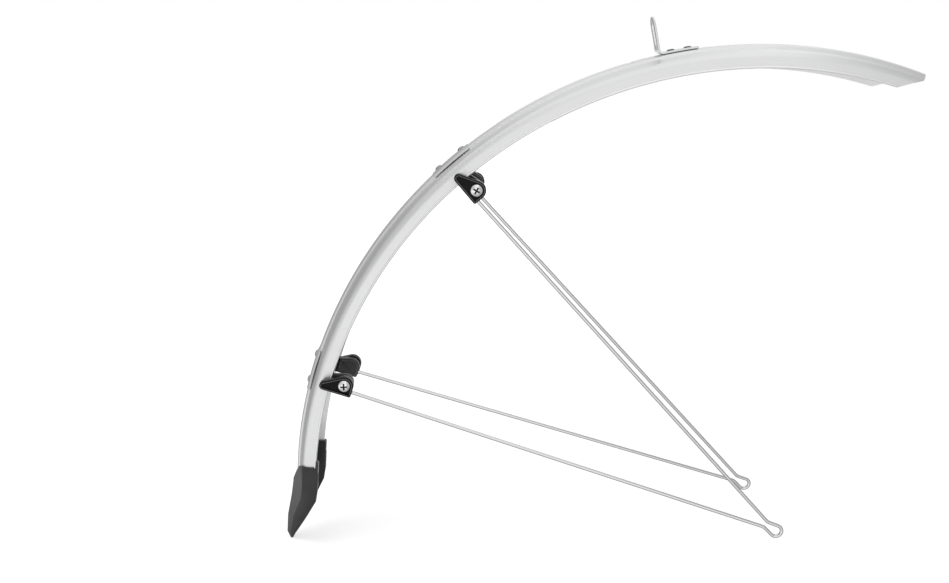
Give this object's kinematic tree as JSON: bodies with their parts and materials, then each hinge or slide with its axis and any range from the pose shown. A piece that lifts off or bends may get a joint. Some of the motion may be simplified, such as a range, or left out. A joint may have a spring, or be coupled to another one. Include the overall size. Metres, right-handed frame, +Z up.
{
  "type": "bicycle mudguard",
  "caption": "Arched silver bicycle mudguard with a raised crown band, beaded edges, moulded stay clips, looped wire stays, a slotted fork bracket and a pointed black flap.",
  "frame": {"origin": "centre of the blade's arc, where the wheel's axle sits", "axes": "+X forward, +Y to the rider's left, +Z up"},
  "size_m": [0.4974, 0.0906, 0.4234],
  "materials": {
    "blade_silver": "satin silver",
    "bridge_black": "moulded satin",
    "cap_black": "moulded satin",
    "flap_black": "matte",
    "strip_metal": "rolled",
    "rivet_metal": "bright",
    "bracket_steel": "zinc plated",
    "screw_chrome": "bright",
    "stay_wire": "drawn and polished"
  },
  "bodies": {
    "root": {"blade": "blade_silver", "upper_bridge": "bridge_black", "lower_bridge": "bridge_black", "upper_strip": "strip_metal", "lower_strip": "strip_metal", "bridge_rivets": "rivet_metal", "fork_rivets": "rivet_metal", "upper_left_cap": "cap_black", "upper_right_cap": "cap_black", "lower_left_cap": "cap_black", "lower_right_cap": "cap_black", "stay_screws": "screw_chrome", "stay_left": "stay_wire", "stay_right": "stay_wire", "fork_bracket": "bracket_steel", "mudflap": "flap_black"}
  },
  "joints": []
}
